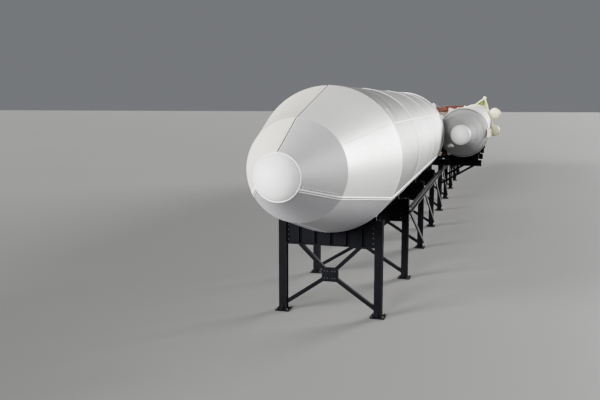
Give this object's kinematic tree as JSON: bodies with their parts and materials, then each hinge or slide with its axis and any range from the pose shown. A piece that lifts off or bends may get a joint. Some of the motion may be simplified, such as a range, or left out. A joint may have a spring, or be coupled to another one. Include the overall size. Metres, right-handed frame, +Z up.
{
  "type": "space rocket, half-size model",
  "caption": "Half-size model of a heavy space rocket with a white payload fairing and strap-on boosters, lying on black steel trestles.",
  "frame": {"origin": "on the floor under the middle of the rocket's length", "axes": "+Y along the rocket towards its tail, +Z up, +X to the right as seen from the nose"},
  "size_m": [6.06, 31.1, 4.09],
  "materials": {
    "white_paint": "satin",
    "cream_paint": "satin",
    "bronze_skin": "satin",
    "rust_paint": "satin",
    "engine_metal": "satin",
    "nozzle_liner": "matte",
    "black_steel": "satin"
  },
  "bodies": {
    "rocket_and_stand": {"fairing_nose_cap": "white_paint", "fairing_sector_right": "white_paint", "fairing_sector_left": "white_paint", "fairing_sector_bottom": "white_paint", "fairing_boattail": "white_paint", "upper_stage_forward_skirt": "bronze_skin", "upper_stage_tanks": "bronze_skin", "interstage": "bronze_skin", "first_stage_oxidizer_tank": "bronze_skin", "first_stage_intertank": "bronze_skin", "first_stage_fuel_tank": "bronze_skin", "first_stage_aft_skirt": "bronze_skin", "core_raceway": "bronze_skin", "engine_thrust_frame": "engine_metal", "booster_right_nose_cone": "white_paint", "booster_right_forward_skirt": "white_paint", "booster_right_motor_case_forward": "white_paint", "booster_right_motor_case_centre": "white_paint", "booster_right_motor_case_aft": "white_paint", "booster_right_raceway": "white_paint", "booster_right_aft_skirt": "cream_paint", "booster_right_service_tanks": "cream_paint", "booster_right_lift_frame": "cream_paint", "booster_left_nose_cone": "white_paint", "booster_left_forward_skirt": "white_paint", "booster_left_motor_case_forward": "white_paint", "booster_left_motor_case_centre": "white_paint", "booster_left_motor_case_aft": "white_paint", "booster_left_raceway": "white_paint", "booster_left_aft_skirt": "cream_paint", "booster_left_service_tanks": "cream_paint", "booster_left_lift_frame": "cream_paint", "strut_forward_right_upper": "rust_paint", "strut_forward_right_lower": "rust_paint", "strut_forward_left_upper": "rust_paint", "strut_forward_left_lower": "rust_paint", "strut_aft_right_upper": "rust_paint", "strut_aft_right_lower": "rust_paint", "strut_aft_left_upper": "rust_paint", "strut_aft_left_lower": "rust_paint", "stand_trestle_1": "black_steel", "stand_trestle_2": "black_steel", "stand_trestle_3": "black_steel", "stand_trestle_4": "black_steel", "stand_trestle_5": "black_steel", "stand_trestle_6": "black_steel", "stand_trestle_7": "black_steel", "stand_trestle_8": "black_steel", "stand_trestle_9": "black_steel", "stand_rail_right": "black_steel", "stand_rail_left": "black_steel"},
    "booster_right_bearing_body": {"booster_right_flex_bearing": "nozzle_liner"},
    "booster_right_nozzle_body": {"booster_right_nozzle": "nozzle_liner"},
    "booster_left_bearing_body": {"booster_left_flex_bearing": "nozzle_liner"},
    "booster_left_nozzle_body": {"booster_left_nozzle": "nozzle_liner"},
    "engine_upper_gimbal_body": {"engine_gimbal_cross_upper": "engine_metal"},
    "engine_upper_chamber_body": {"engine_chamber_upper": "engine_metal"},
    "engine_lower_gimbal_body": {"engine_gimbal_cross_lower": "engine_metal"},
    "engine_lower_chamber_body": {"engine_chamber_lower": "engine_metal"}
  },
  "joints": [
    {"name": "booster_right_pitch", "type": "hinge", "parent": "rocket_and_stand", "child": "booster_right_bearing_body", "pos_m": [1.775, 12.95, 2.8], "axis": [1, 0, 0], "range_deg": [-6, 6]},
    {"name": "booster_right_yaw", "type": "hinge", "parent": "booster_right_bearing_body", "child": "booster_right_nozzle_body", "pos_m": [1.775, 12.95, 2.8], "axis": [0, 0, 1], "range_deg": [-6, 6]},
    {"name": "booster_left_pitch", "type": "hinge", "parent": "rocket_and_stand", "child": "booster_left_bearing_body", "pos_m": [-1.775, 12.95, 2.8], "axis": [1, 0, 0], "range_deg": [-6, 6]},
    {"name": "booster_left_yaw", "type": "hinge", "parent": "booster_left_bearing_body", "child": "booster_left_nozzle_body", "pos_m": [-1.775, 12.95, 2.8], "axis": [0, 0, 1], "range_deg": [-6, 6]},
    {"name": "engine_upper_pitch", "type": "hinge", "parent": "rocket_and_stand", "child": "engine_upper_gimbal_body", "pos_m": [0, 14.325, 3.24], "axis": [1, 0, 0], "range_deg": [-4.5, 4.5]},
    {"name": "engine_upper_yaw", "type": "hinge", "parent": "engine_upper_gimbal_body", "child": "engine_upper_chamber_body", "pos_m": [0, 14.325, 3.24], "axis": [0, 0, 1], "range_deg": [-4.5, 4.5]},
    {"name": "engine_lower_pitch", "type": "hinge", "parent": "rocket_and_stand", "child": "engine_lower_gimbal_body", "pos_m": [0, 14.325, 2.36], "axis": [1, 0, 0], "range_deg": [-4.5, 4.5]},
    {"name": "engine_lower_yaw", "type": "hinge", "parent": "engine_lower_gimbal_body", "child": "engine_lower_chamber_body", "pos_m": [0, 14.325, 2.36], "axis": [0, 0, 1], "range_deg": [-4.5, 4.5]}
  ]
}
